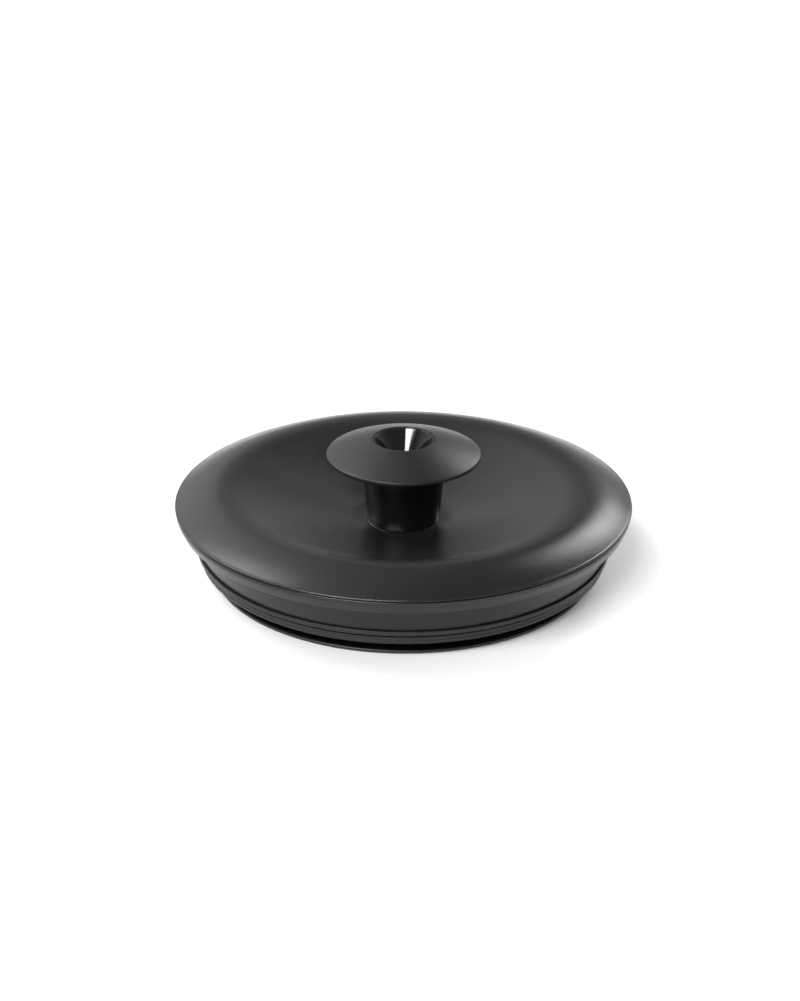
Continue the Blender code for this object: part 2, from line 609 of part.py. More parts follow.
def knob_funnel(material, group):
    """Glossy funnel held under the cap's lip by its flange."""
    points = outline(
        (0.0, FUNNEL_TIP),
        (FUNNEL_TIP_RADIUS, FUNNEL_TIP, FUNNEL_TIP_FILLET),
        (FUNNEL_MOUTH - FUNNEL_WALL / 2, FUNNEL_TOP, FUNNEL_LIP_FILLET),
        (FUNNEL_MOUTH, FUNNEL_TOP),
        (FUNNEL_MOUTH, FUNNEL_FLANGE_TOP),
        (SPIGOT_RADIUS, FUNNEL_FLANGE_TOP),
        (SPIGOT_RADIUS, FUNNEL_FLANGE_BOTTOM),
        (FUNNEL_MOUTH - FUNNEL_FLANGE_ROOT, FUNNEL_FLANGE_BOTTOM),
        (FUNNEL_TIP_RADIUS + FUNNEL_WALL, FUNNEL_TIP),
        (FUNNEL_TIP_RADIUS, FUNNEL_TIP - FUNNEL_WALL),
        (0.0, FUNNEL_TIP - FUNNEL_WALL),
    )
    return turned("knob_funnel", points, KNOB_STEPS, material, group)


def stem_washer(material, group):
    """Silicone washer under the stem, pierced for the pegs."""
    piece = washer("stem_washer", STEM_FOOT_RADIUS, BOLT_CLEARANCE, SEAT_FLOOR + GAP,
                   STEM_WASHER, material, group)
    for index, place in enumerate(around(2, PEG_PITCH), start=1):
        hole = cylinder(f"washer_hole_{index}", PEG_RADIUS + GAP, SEAT_FLOOR, STEM_FOOT, place)
        combine(piece, hole, "DIFFERENCE")
    return piece


# ---- fasteners -----------------------------------------------------------------------------------
def knob_insert(material, group):
    """Brass thread insert in the stem, with a groove that keys it in the plastic."""
    middle = (INSERT_BOTTOM + INSERT_TOP) / 2
    root = INSERT_RADIUS - INSERT_GROOVE
    root_half = INSERT_GROOVE_HALF - INSERT_GROOVE
    points = [
        (BOLT_CLEARANCE, INSERT_TOP),
        (INSERT_RADIUS, INSERT_TOP),
        (INSERT_RADIUS, middle + INSERT_GROOVE_HALF),
        (root, middle + root_half),
        (root, middle - root_half),
        (INSERT_RADIUS, middle - INSERT_GROOVE_HALF),
        (INSERT_RADIUS, INSERT_BOTTOM),
        (BOLT_CLEARANCE, INSERT_BOTTOM),
    ]
    return turned("knob_insert", points, SMALL_STEPS, material, group)


def headed_screw(name, shank, head, head_height, length, material, group):
    """A pan-head screw that points up, its origin under the head, with a cross recess."""
    points = outline(
        (0.0, length),
        (shank * POINT_TIP, length),
        (shank, length - shank * POINT_LENGTH),
        (shank, 0.0),
        (head, 0.0),
        (head, -head_height, head_height * HEAD_ROUNDING),
        (0.0, -head_height),
    )
    piece = turned(name, points, SMALL_STEPS, material, group)
    for index, turn in enumerate((0.0, pi / 2), start=1):
        bpy.ops.mesh.primitive_cube_add(
            size=1.0, location=(0.0, 0.0, -head_height), rotation=(0.0, 0.0, turn))
        recess = bpy.context.object
        recess.name = f"{name}_recess_{index}"
        recess.scale = (head * RECESS_LENGTH, head * RECESS_WIDTH, head_height)
        make_tool(recess)
        recess.parent = piece
        combine(piece, recess, "DIFFERENCE")
    return piece


# ---- the whole lid -------------------------------------------------------------------------------
def body_axis(name, group):
    """An empty on the lid's axis, which carries one rigid body's pieces."""
    axis = bpy.data.objects.new(name, None)
    axis.empty_display_size = 10 * MM
    group.objects.link(axis)
    return axis


def build(group):
    """Make every piece and hang it from the empty of the body that it belongs to."""
    cover_black = plain_material("cover_black", (0.018, 0.018, 0.019), 0.42)
    body_black = plain_material("body_black", (0.020, 0.020, 0.021), 0.38)
    ring_black = plain_material("ring_black", (0.022, 0.022, 0.023), 0.35)
    plate_black = plain_material("plate_black", (0.022, 0.022, 0.022), 0.45)
    cap_black = plain_material("cap_black", (0.020, 0.020, 0.021), 0.36)
    stem_black = plain_material("stem_black", (0.008, 0.008, 0.009), 0.28)
    funnel_gloss = plain_material("funnel_gloss", (0.010, 0.010, 0.011), 0.06)
    silicone = plain_material("silicone_black", (0.025, 0.025, 0.026), 0.55)
    inner_silicone = plain_material("silicone_grey", (0.12, 0.12, 0.12), 0.6)
    brass = plain_material("brass", (0.70, 0.50, 0.22), 0.3, 1.0)
    steel = plain_material("steel", (0.60, 0.60, 0.62), 0.28, 1.0)

    lid_axis = body_axis("lid_axis", group)
    knob_axis = body_axis("knob_axis", group)
    bolt_axis = body_axis("bolt_axis", group)
    plate_axis = body_axis("plate_axis", group)
    ring_axis = body_axis("ring_axis", group)

    rim_seal_height = cover_height(UNDERSIDE_END) - COVER_WALL - GAP
    bolt = headed_screw("knob_bolt", BOLT_RADIUS, BOLT_HEAD_RADIUS, BOLT_HEAD,
                        BOLT_END - BOLT_HEAD_TOP, steel, group)
    bolt.location.z = BOLT_HEAD_TOP

    bodies = {
        lid_axis: [
            lid_cover(cover_black, group),
            lid_body(body_black, group),
            seal_gasket(silicone, group),
            ring_seal("rim_seal", RIM_SEAL_RADIUS, RIM_SEAL_SECTION, rim_seal_height,
                      inner_silicone, group),
            stem_washer(inner_silicone, group),
            washer("bolt_seal", WASHER_RADIUS, BOLT_CLEARANCE, BOLT_SEAL_BOTTOM, BOLT_SEAL,
                   inner_silicone, group),
            washer("bolt_washer", WASHER_RADIUS, BOLT_CLEARANCE, WASHER_BOTTOM, WASHER,
                   steel, group),
        ],
        knob_axis: [
            knob_cap(cap_black, group),
            knob_stem(stem_black, group),
            knob_funnel(funnel_gloss, group),
            knob_insert(brass, group),
        ],
        bolt_axis: [bolt],
        plate_axis: [
            bottom_plate(plate_black, group),
            ring_seal("plate_seal", PLATE_SEAL_RADIUS, SEAL_SECTION, PLATE_SEAL_HEIGHT,
                      inner_silicone, group),
        ],
        ring_axis: [base_ring(ring_black, group)],
    }

    first = headed_screw("body_screw_1", SCREW_RADIUS, SCREW_HEAD_RADIUS, SCREW_HEAD,
                         SCREW_LENGTH, steel, group)
    bpy.context.view_layer.update()
    finish(first)
    places = around(SCREW_COUNT, SCREW_PITCH_RADIUS)
    for index, place in enumerate(places, start=1):
        screw = first if index == 1 else bpy.data.objects.new(f"body_screw_{index}", first.data)
        if index > 1:
            group.objects.link(screw)
        screw.location = (place[0], place[1], SCREW_SEAT)
        screw.parent = lid_axis

    bpy.context.view_layer.update()
    for axis, pieces in bodies.items():
        for piece in pieces:
            finish(piece)
            piece.parent = axis


for leftover in list(bpy.data.objects):
    bpy.data.objects.remove(leftover)
lid = bpy.data.collections.new("french_press_lid")
cutters = bpy.data.collections.new("cutters")
bpy.context.scene.collection.children.link(lid)
bpy.context.scene.collection.children.link(cutters)
build(lid)
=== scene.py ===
"""Looks of the closed french press lid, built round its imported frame. Lengths are in metres.

The lid stands on its base ring with its axis on Z. Every round piece is turned from an outline of
(radius, height[, fillet]) corners; screw threads and mould marks are worked into the same meshes.
"""
from math import acos, atan2, cos, hypot, pi, radians, sin, tan

import bmesh
import bpy
from mathutils import Matrix, Vector


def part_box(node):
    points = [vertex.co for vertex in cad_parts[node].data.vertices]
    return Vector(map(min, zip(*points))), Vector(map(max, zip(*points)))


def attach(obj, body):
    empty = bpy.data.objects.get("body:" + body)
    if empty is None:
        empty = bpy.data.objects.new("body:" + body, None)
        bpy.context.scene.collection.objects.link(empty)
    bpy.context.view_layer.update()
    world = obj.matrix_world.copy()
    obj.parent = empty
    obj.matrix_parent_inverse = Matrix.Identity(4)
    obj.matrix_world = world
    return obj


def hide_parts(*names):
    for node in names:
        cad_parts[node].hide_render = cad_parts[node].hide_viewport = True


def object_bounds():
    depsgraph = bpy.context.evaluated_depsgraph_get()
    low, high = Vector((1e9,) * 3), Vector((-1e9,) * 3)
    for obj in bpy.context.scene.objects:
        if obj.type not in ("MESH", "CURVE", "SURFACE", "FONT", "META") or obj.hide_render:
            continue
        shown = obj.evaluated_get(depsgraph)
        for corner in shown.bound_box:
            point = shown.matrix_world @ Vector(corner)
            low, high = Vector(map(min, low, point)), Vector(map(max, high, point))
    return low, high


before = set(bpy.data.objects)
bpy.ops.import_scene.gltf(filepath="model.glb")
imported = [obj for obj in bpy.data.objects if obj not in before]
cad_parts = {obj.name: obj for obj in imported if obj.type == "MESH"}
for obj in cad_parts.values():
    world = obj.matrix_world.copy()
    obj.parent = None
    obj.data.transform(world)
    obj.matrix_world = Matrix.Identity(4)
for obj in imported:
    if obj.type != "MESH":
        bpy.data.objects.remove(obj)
cad_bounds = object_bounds()

MM = 0.001
WIDE_SEGMENTS = 256             # round the cover, body, gasket and ring
KNOB_SEGMENTS = 160
SMALL_SEGMENTS = 48
ARC_STEP = radians(9)           # coarsest step of a fillet
SHARP_ANGLE = radians(30)


# ---- outlines ----------------------------------------------------------------------------------
def corner_arc(before, corner, after, fillet):
    """Points of the arc that rounds a corner between two straight runs."""
    into = Vector(before[:2]) - Vector(corner[:2])
    out = Vector(after[:2]) - Vector(corner[:2])
    into.normalize()
    out.normalize()
    opening = acos(max(-1.0, min(1.0, into.dot(out))))
    reach = fillet / tan(opening / 2)
    towards = (into + out).normalized()
    centre = Vector(corner[:2]) + towards * (fillet / sin(opening / 2))
    start = Vector(corner[:2]) + into * reach - centre
    end = Vector(corner[:2]) + out * reach - centre
    first = atan2(start.y, start.x)
    sweep = (atan2(end.y, end.x) - first + pi) % (2 * pi) - pi
    steps = max(3, round(abs(sweep) / ARC_STEP))
    angles = [first + sweep * step / steps for step in range(steps + 1)]
    return [(centre.x + fillet * cos(a), centre.y + fillet * sin(a)) for a in angles]


def outline(*corners):
    """Turn corners (radius, height[, fillet]) into points, with an arc at each filleted corner."""
    points = []
    for index, corner in enumerate(corners):
        if len(corner) == 2:
            points.append(corner)
            continue
        following = corners[(index + 1) % len(corners)]
        points += corner_arc(corners[index - 1], corner, following, corner[2])
    return points


def between(low, high, steps):
    """Evenly spaced values from low to high, both included."""
    return [low + (high - low) * step / steps for step in range(steps + 1)]


def split_run(start, end, steps):
    """Points that divide the straight run from start to end, both included."""
    rows = zip(between(start[0], end[0], steps), between(start[1], end[1], steps))
    return list(rows)


def around(count, radius, turn=0.0):
    """Places of a ring of equal features."""
    angles = [turn + 2 * pi * index / count for index in range(count)]
    return [(radius * cos(a), radius * sin(a)) for a in angles]


# ---- meshes ------------------------------------------------------------------------------------
def shaded(mesh):
    """Smooth shading, except at the sharp edges."""
    mesh.shade_smooth()
    mesh.set_sharp_from_angle(angle=SHARP_ANGLE)


def turned(name, points, material, segments=WIDE_SEGMENTS, relief=None):
    """Turn an outline that runs down its outer side. Ends on the axis close it, else it loops.

    relief(radius, height, angle) may move each point's radius, for threads and knurls.
    """
    model = bmesh.new()
    rows = []
    for radius, height in points:
        if radius == 0.0:
            rows.append([model.verts.new((0.0, 0.0, height))])
            continue
        row = []
        for index in range(segments):
            angle = 2 * pi * index / segments
            at = relief(radius, height, angle) if relief else radius
            row.append(model.verts.new((at * cos(angle), at * sin(angle), height)))
        rows.append(row)
    pairs = list(zip(rows, rows[1:]))
    if len(rows[0]) > 1:
        pairs.append((rows[-1], rows[0]))
    for upper, lower in pairs:
        for index in range(segments):
            after = (index + 1) % segments
            corners = [upper[index % len(upper)], lower[index % len(lower)],
                       lower[after % len(lower)], upper[after % len(upper)]]
            model.faces.new(list(dict.fromkeys(corners)))
    mesh = bpy.data.meshes.new(name)
    model.to_mesh(mesh)
    model.free()
    shaded(mesh)
    mesh.materials.append(material)
    piece = bpy.data.objects.new(name, mesh)
    bpy.context.scene.collection.objects.link(piece)
    return piece


def column(model, place, radius, bottom, top, segments=SMALL_SEGMENTS):
    """Add an upright closed column to a bmesh. bottom and top are heights, or give one per point."""
    rim = [(place[0] + x, place[1] + y) for x, y in around(segments, radius)]

    def row(height):
        level = height if callable(height) else lambda x, y: height
        return [model.verts.new((x, y, level(x, y))) for x, y in rim + [place]]

    low, high = row(bottom), row(top)
    for index in range(segments):
        after = (index + 1) % segments
        model.faces.new((low[index], low[after], high[after], high[index]))
        model.faces.new((low[-1], low[after], low[index]))
        model.faces.new((high[-1], high[index], high[after]))


def combine(piece, model, operation):
    """Join a bmesh of closed shells to a piece, or cut it away, and keep the result as the mesh."""
    mesh = bpy.data.meshes.new(piece.name + "_tool")
    model.to_mesh(mesh)
    model.free()
    tool = bpy.data.objects.new(mesh.name, mesh)
    bpy.context.scene.collection.objects.link(tool)
    boolean = piece.modifiers.new("combine", "BOOLEAN")
    boolean.operation = operation
    boolean.solver = "EXACT"
    boolean.use_self = False
    boolean.object = tool
    bpy.context.view_layer.update()
    graph = bpy.context.evaluated_depsgraph_get()
    result = bpy.data.meshes.new_from_object(piece.evaluated_get(graph))
    piece.modifiers.clear()
    old = piece.data
    piece.data = result
    bpy.data.meshes.remove(old)
    result.name = piece.name
    shaded(result)
    bpy.data.objects.remove(tool)
    bpy.data.meshes.remove(mesh)


# ---- materials ---------------------------------------------------------------------------------
class Finish:
    """A Principled material whose detail comes from noise in object space."""

    def __init__(self, name):
        self.material = bpy.data.materials.new(name)
        self.material.use_nodes = True
        self.tree = self.material.node_tree
        self.shader = self.tree.nodes["Principled BSDF"]
        self.place = self.tree.nodes.new("ShaderNodeTexCoord").outputs["Object"]

    def set(self, **values):
        """Set constant sockets; underscores stand for spaces."""
        for name, value in values.items():
            self.shader.inputs[name.replace("_", " ")].default_value = value
        return self

    def noise(self, scale, detail=2.0, stretch=None, roughness=0.5):
        """Noise of that many waves a metre, drawn out along each axis by stretch."""
        node = self.tree.nodes.new("ShaderNodeTexNoise")
        node.inputs["Scale"].default_value = scale
        node.inputs["Detail"].default_value = detail
        node.inputs["Roughness"].default_value = roughness
        source = self.place
        if stretch:
            mapping = self.tree.nodes.new("ShaderNodeMapping")
            mapping.inputs["Scale"].default_value = stretch
            self.tree.links.new(self.place, mapping.inputs["Vector"])
            source = mapping.outputs["Vector"]
        self.tree.links.new(source, node.inputs["Vector"])
        return node.outputs["Fac"]

    def ranged(self, value, low, high, to_low, to_high):
        """Map a value from one range to another, and clamp it."""
        node = self.tree.nodes.new("ShaderNodeMapRange")
        for socket, number in zip(("From Min", "From Max", "To Min", "To Max"),
                                  (low, high, to_low, to_high)):
            node.inputs[socket].default_value = number
        self.tree.links.new(value, node.inputs["Value"])
        return node.outputs["Result"]

    def blend(self, factor, first, second):
        """Blend two colours by a factor. Either may be a socket."""
        node = self.tree.nodes.new("ShaderNodeMix")
        node.data_type = "RGBA"
        self.tree.links.new(factor, node.inputs["Factor"])
        for socket, colour in ((node.inputs["A"], first), (node.inputs["B"], second)):
            self.paint(socket, colour)
        return node.outputs["Result"]

    def paint(self, socket, colour):
        """Give a colour socket a colour or a link."""
        if isinstance(colour, tuple):
            socket.default_value = (*colour, 1.0)
        else:
            self.tree.links.new(colour, socket)

    def colour(self, colour):
        """Set the base colour to a colour or a link."""
        self.paint(self.shader.inputs["Base Color"], colour)
        return self

    def roughness(self, value):
        """Drive the roughness from a value."""
        self.tree.links.new(value, self.shader.inputs["Roughness"])
        return self

    def bumps(self, *layers):
        """Bump layers (value, depth in metres), each worked on top of the last."""
        normal = None
        for value, depth in layers:
            node = self.tree.nodes.new("ShaderNodeBump")
            node.inputs["Strength"].default_value = 1.0
            node.inputs["Distance"].default_value = depth
            self.tree.links.new(value, node.inputs["Height"])
            if normal:
                self.tree.links.new(normal, node.inputs["Normal"])
            normal = node.outputs["Normal"]
        self.tree.links.new(normal, self.shader.inputs["Normal"])
        return self


def moulded_plastic(name, tone, rough, grain, grain_depth, speck=1.25, ior=1.5):
    """Black moulded plastic: spark-eroded grain, faint flow mottling and sparse pale specks.

    grain is in waves a metre, grain_depth in metres, and speck is the specks' share of the tone.
    """
    ripple, ripple_depth = 45.0, 0.03 * MM      # slow waviness of the moulded wall
    finish = Finish(name)
    grain_noise = finish.noise(grain, 3.0, roughness=0.6)
    mottle = finish.noise(70.0, 2.0)
    base = finish.blend(mottle, tuple(tone * share for share in (0.90, 0.90, 0.91)),
                        tuple(tone * share for share in (1.10, 1.10, 1.12)))
    specks = finish.ranged(finish.noise(1500.0, 1.0), 0.68, 0.80, 0.0, 1.0)
    finish.colour(finish.blend(specks, base, tuple(tone * speck for _ in range(3))))
    finish.roughness(finish.ranged(mottle, 0.35, 0.65, rough - 0.02, rough + 0.03))
    finish.bumps((finish.noise(ripple, 1.0), ripple_depth), (grain_noise, grain_depth))
    return finish.set(IOR=ior).material


def silicone(name, tone, rough):
    """Soft silicone: matt, with a dusty skin and fine lines of flow round the ring."""
    finish = Finish(name)
    cloud = finish.noise(120.0, 3.0)
    dark = tuple(tone * share for share in (0.92, 0.92, 0.93))
    pale = tuple(tone * share for share in (1.12, 1.12, 1.13))
    finish.colour(finish.blend(cloud, dark, pale))
    finish.roughness(finish.ranged(cloud, 0.3, 0.7, rough - 0.03, rough + 0.05))
    dust_depth, line_depth = 0.012 * MM, 0.010 * MM
    finish.bumps((finish.noise(900.0, 3.0), dust_depth),
                 (finish.noise(300.0, 1.0, stretch=(1.0, 1.0, 6.0)), line_depth))
    return finish.set(IOR=1.42, Specular_IOR_Level=0.5).material


def turned_metal(name, colour, rough):
    """Metal turned on a lathe, with fine rings and a little tarnish."""
    finish = Finish(name)
    tarnish = finish.noise(200.0, 3.0)
    dull = tuple(part * 0.82 for part in colour)
    finish.colour(finish.blend(finish.ranged(tarnish, 0.45, 0.75, 0.0, 1.0), colour, dull))
    finish.roughness(finish.ranged(tarnish, 0.3, 0.7, rough - 0.05, rough + 0.1))
    ring_depth = 0.004 * MM
    finish.bumps((finish.noise(400.0, 2.0, stretch=(0.6, 0.6, 25.0)), ring_depth))
    return finish.set(Metallic=1.0).material


COVER_BLACK = moulded_plastic("cover_black", 0.0070, 0.24, 2000.0, 0.045 * MM)
BODY_BLACK = moulded_plastic("body_black", 0.0095, 0.28, 2000.0, 0.016 * MM, ior=1.4)
RING_BLACK = moulded_plastic("ring_black", 0.011, 0.34, 1800.0, 0.012 * MM)
PLATE_BLACK = moulded_plastic("plate_black", 0.014, 0.42, 2200.0, 0.012 * MM)
CAP_BLACK = moulded_plastic("cap_black", 0.0050, 0.36, 2200.0, 0.030 * MM)
STEM_BLACK = moulded_plastic("stem_black", 0.004, 0.24, 1400.0, 0.008 * MM)
FUNNEL_GLOSS = moulded_plastic("funnel_gloss", 0.006, 0.06, 260.0, 0.003 * MM)
SILICONE_BLACK = silicone("silicone_black", 0.011, 0.40)
SILICONE_GREY = silicone("silicone_grey", 0.13, 0.60)
BRASS = turned_metal("brass", (0.72, 0.50, 0.22), 0.25)
STEEL = turned_metal("steel", (0.62, 0.62, 0.64), 0.24)


# ---- sizes -------------------------------------------------------------------------------------
GAP = 0.3 * MM                  # between pieces that touch
COVER_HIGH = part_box("lid_cover")[1]
BODY_LOW, BODY_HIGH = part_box("lid_body")
GASKET_LOW, GASKET_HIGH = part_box("seal_gasket")
RING_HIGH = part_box("base_ring")[1]
PLATE_LOW, PLATE_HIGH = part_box("bottom_plate")
CAP_LOW, CAP_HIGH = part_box("knob_cap")
STEM_LOW, STEM_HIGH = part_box("knob_stem")
FUNNEL_LOW, FUNNEL_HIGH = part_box("knob_funnel")
BOLT_LOW, BOLT_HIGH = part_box("knob_bolt")

RIM_RADIUS = COVER_HIGH.x
CREST = COVER_HIGH.z            # top of the rolled rim
CREST_RISE = 3.5 * MM
CREST_RADIUS = 46.6 * MM
RIM_POWER = 1.6                 # how soon the rim's outer slope falls away from the crest
RIM_EDGE = CREST - CREST_RISE
DISH_DEPTH = 9.55 * MM
DISH_FLOOR = CREST - DISH_DEPTH
DISH_RUN = 37.0 * MM            # crest in to the flat middle of the dish
DISH_FOOT_ROUND = 4.0 * MM      # run that rounds the middle into the dish's slope
DISH_CREST_ROUND = 6.0 * MM     # run that rounds the slope into the crest
DISH_FLOOR_RADIUS = CREST_RADIUS - DISH_RUN
COVER_WALL = 2.4 * MM
EDGE_DROP = 0.2 * MM
EDGE_FILLET = 0.42 * MM
EDGE_LIFT = 0.12 * MM           # how far the rim's lower corner stands above RIM_EDGE
EDGE_INNER = RIM_RADIUS - 2.2 * MM
UNDERSIDE_END = EDGE_INNER - COVER_WALL / 3
SHANK_RADIUS = 2.5 * MM
BOLT_CLEARANCE = SHANK_RADIUS + GAP
SEAT_FLOOR = DISH_FLOOR - 1.25 * MM
SEAT_OUTER = 9.15 * MM + GAP / 2
BOSS_BOTTOM = SEAT_FLOOR - 2.6 * MM
BOSS_RADIUS = 13.0 * MM
PEG_PITCH = 6.2 * MM
PEG_RADIUS = 1.1 * MM
PEG_LENGTH = 2.2 * MM
CAP_LIP_RADIUS = 7.8 * MM
CAP_LIP_THICKNESS = 1.7 * MM    # over the funnel's flange
SPIGOT_RADIUS = 8.5 * MM
SCREW_COUNT = 6
SCREW_PITCH_RADIUS = 37.0 * MM
POST_RADIUS = 3.2 * MM
POST_BOTTOM = 9.3 * MM
PILOT_RADIUS = 1.55 * MM
PILOT_TOP = 15.0 * MM


# ---- cover and plug body -------------------------------------------------------------------------
def cover_height(radius):
    """Height of the cover's upper face: a shallow cone rounded into its middle and its crest."""
    outwards, inwards = radius - DISH_FLOOR_RADIUS, CREST_RADIUS - radius
    if outwards <= 0.0:
        return DISH_FLOOR
    slope = DISH_DEPTH / (DISH_RUN - (DISH_FOOT_ROUND + DISH_CREST_ROUND) / 2)
    if outwards < DISH_FOOT_ROUND:
        return DISH_FLOOR + slope * outwards ** 2 / (2 * DISH_FOOT_ROUND)
    if inwards > DISH_CREST_ROUND:
        return DISH_FLOOR + slope * (outwards - DISH_FOOT_ROUND / 2)
    if inwards > 0.0:
        return CREST - slope * inwards ** 2 / (2 * DISH_CREST_ROUND)
    share = min(1.0, (radius - CREST_RADIUS) / (RIM_RADIUS - CREST_RADIUS))
    return RIM_EDGE + CREST_RISE * (1 - share ** RIM_POWER)


def make_cover():
    """Dished cover with a rolled rim, knob seat, centre boss and screw posts."""
    dish = [(r, cover_height(r)) for r in between(DISH_FLOOR_RADIUS, CREST_RADIUS, 44)]
    rim = [(r, cover_height(r)) for r in between(CREST_RADIUS, RIM_RADIUS - EDGE_FILLET, 32)[1:]]
    underside_start = BOSS_RADIUS + 1.0 * MM
    lower = [(r, cover_height(r) - COVER_WALL) for r in between(underside_start, UNDERSIDE_END, 36)]
    edge_bottom = RIM_EDGE - EDGE_DROP
    points = outline(
        (BOLT_CLEARANCE, SEAT_FLOOR),
        (SEAT_OUTER, SEAT_FLOOR, 0.15 * MM),
        (SEAT_OUTER, DISH_FLOOR),
        *dish,
        *rim,
        (RIM_RADIUS, RIM_EDGE + EDGE_LIFT, EDGE_FILLET),
        (RIM_RADIUS, edge_bottom),
        (EDGE_INNER, edge_bottom),
        (EDGE_INNER, lower[-1][1]),
        *reversed(lower),
        (BOSS_RADIUS, cover_height(BOSS_RADIUS) - COVER_WALL, 0.4 * MM),
        (BOSS_RADIUS, BOSS_BOTTOM, 0.4 * MM),
        (BOLT_CLEARANCE, BOSS_BOTTOM),
    )
    piece = turned("lid_cover_skin", points, COVER_BLACK)
    posts = bmesh.new()
    holes = bmesh.new()
    overshoot = 1.0 * MM            # so that a cut runs clear of the face it opens

    def mid_wall(x, y):
        return cover_height(hypot(x, y)) - COVER_WALL / 2

    for place in around(SCREW_COUNT, SCREW_PITCH_RADIUS):
        column(posts, place, POST_RADIUS, POST_BOTTOM, mid_wall)
        column(holes, place, PILOT_RADIUS, POST_BOTTOM - overshoot, PILOT_TOP)
    for place in around(2, PEG_PITCH):
        column(holes, place, PEG_RADIUS + GAP, BOSS_BOTTOM - overshoot, DISH_FLOOR)
    combine(piece, posts, "UNION")
    combine(piece, holes, "DIFFERENCE")
    return piece


def make_body():
    """Plug body: beaded flange, tapered band, smooth skirt, gasket seat and the screws' web."""
    top = BODY_HIGH.z
    foot = BODY_LOW.z
    flange = BODY_HIGH.x
    rebate = EDGE_INNER + GAP
    bead = 1.15 * MM
    flange_bottom = top - 3.2 * MM
    flange_foot = 56.3 * MM
    floor = cover_height(UNDERSIDE_END) - COVER_WALL - GAP
    skirt_top, skirt_foot, skirt_end = 53.2 * MM, 51.9 * MM, GASKET_HIGH.z + GAP / 2
    seat = 47.6 * MM
    lip = seat + 0.9 * MM
    lip_top = foot + 1.0 * MM
    bore = 45.7 * MM
    web_bottom, web_top, web_inner = 7.0 * MM, 9.0 * MM, 33.0 * MM
    skirt_wall = 2.4 * MM
    rib_outer = 43.2 * MM
    rib_inner = rib_outer - 1.8 * MM
    rib_bottom = PLATE_HIGH.z + 2.1 * MM
    groove = 52.6 * MM
    groove_half = 0.8 * MM
    shelf = groove - groove_half - 1.0 * MM
    points = outline(
        (rebate, top, 0.1 * MM),
        (flange, top, 0.4 * MM),
        (flange, top - bead, 0.25 * MM),
        (flange - 0.18 * MM, top - bead, 0.06 * MM),
        (flange - 0.22 * MM, top - bead - 0.12 * MM, 0.06 * MM),
        (flange_foot, flange_bottom, 0.3 * MM),
        (skirt_top, flange_bottom, 0.25 * MM),
        (skirt_foot, skirt_end, 0.15 * MM),
        (seat, skirt_end, 0.1 * MM),
        (seat, lip_top, 0.1 * MM),
        (lip, lip_top, 0.2 * MM),
        (lip, foot, 0.4 * MM),
        (bore, foot, 0.3 * MM),
        (bore, web_bottom, 0.3 * MM),
        (rib_outer, web_bottom, 0.2 * MM),
        (rib_outer, rib_bottom, 0.25 * MM),
        (rib_inner, rib_bottom, 0.25 * MM),
        (rib_inner, web_bottom, 0.3 * MM),
        (web_inner, web_bottom, 0.5 * MM),
        (web_inner, web_top, 0.5 * MM),
        (skirt_foot - skirt_wall, web_top, 1.0 * MM),
        (shelf, flange_bottom, 0.5 * MM),
        (shelf, floor, 0.2 * MM),
        (groove - groove_half, floor, 0.1 * MM),
        (groove - groove_half, floor - groove_half, 0.2 * MM),
        (groove + groove_half, floor - groove_half, 0.2 * MM),
        (groove + groove_half, floor, 0.1 * MM),
        (rebate, floor, 0.2 * MM),
    )
    piece = turned("lid_body_skin", points, BODY_BLACK)
    holes = bmesh.new()
    screw_hole = 1.25 * MM + 2 * GAP
    overshoot = 1.0 * MM
    for place in around(SCREW_COUNT, SCREW_PITCH_RADIUS):
        column(holes, place, screw_hole, web_bottom - overshoot, web_top + overshoot)
    combine(piece, holes, "DIFFERENCE")
    return piece


def make_gasket():
    """Two-lipped silicone gasket: a ridge, a groove and a lower lip with a fine line round it."""
    low, high = GASKET_LOW.z, GASKET_HIGH.z
    inner, clear = 47.9 * MM, 48.8 * MM
    upper, lower = GASKET_HIGH.x, GASKET_HIGH.x - 0.9 * MM
    root = 50.0 * MM
    groove_top, groove_bottom = low + 3.3 * MM, low + 2.7 * MM
    lip_foot = low + 0.75 * MM
    line = (lip_foot + groove_bottom) / 2
    line_half, line_depth = 0.22 * MM, 0.12 * MM
    neck = 49.8 * MM
    lip_clearance = 4.0 * MM        # height at which the gasket's bore widens round the body's lip
    points = outline(
        (inner, high, 0.1 * MM),
        (upper - 0.1 * MM, high, 0.15 * MM),
        (upper, (high + groove_top) / 2, 1.2 * MM),
        (upper - 0.05 * MM, groove_top, 0.2 * MM),
        (root, groove_top, 0.12 * MM),
        (root, groove_bottom, 0.12 * MM),
        (lower, groove_bottom, 0.25 * MM),
        (lower, line + line_half, 0.12 * MM),
        (lower - line_depth, line, 0.08 * MM),
        (lower, line - line_half, 0.12 * MM),
        (lower - 0.1 * MM, lip_foot, 0.25 * MM),
        (neck, lip_foot + 0.1 * MM, 0.2 * MM),
        (neck, low, 0.2 * MM),
        (clear, low, 0.1 * MM),
        (clear, lip_clearance, 0.1 * MM),
        (inner, lip_clearance, 0.1 * MM),
    )
    return turned("seal_gasket_skin", points, SILICONE_BLACK)


